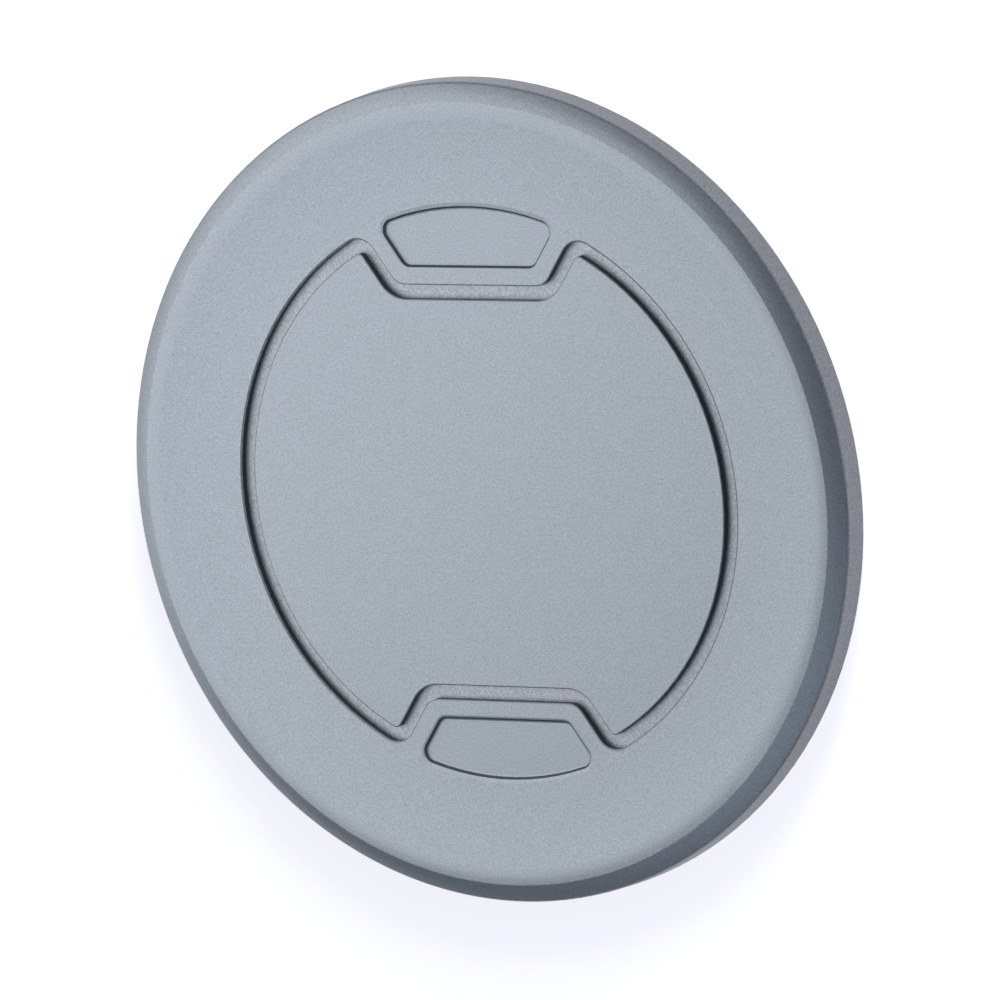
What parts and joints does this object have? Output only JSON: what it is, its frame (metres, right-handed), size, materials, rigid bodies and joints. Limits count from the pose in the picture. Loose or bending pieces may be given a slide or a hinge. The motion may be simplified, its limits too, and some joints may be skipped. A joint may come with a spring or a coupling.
{
  "type": "filter cap",
  "caption": "Round push-on metal cap for a lens filter, with a dished face, a sunk groove that outlines the middle panel, finger recesses and a bevelled rim.",
  "frame": {"origin": "centre of the skirt's rim, on the surface that the cap lies on", "axes": "+Z along the cap's axis, out of the face; +Y towards one finger recess, -Y towards the other"},
  "size_m": [0.0884, 0.0884, 0.004],
  "materials": {
    "blasted_metal": "fine blasted, grey anodised, matte"
  },
  "bodies": {
    "root": {"filter_cap": "blasted_metal"}
  },
  "joints": []
}
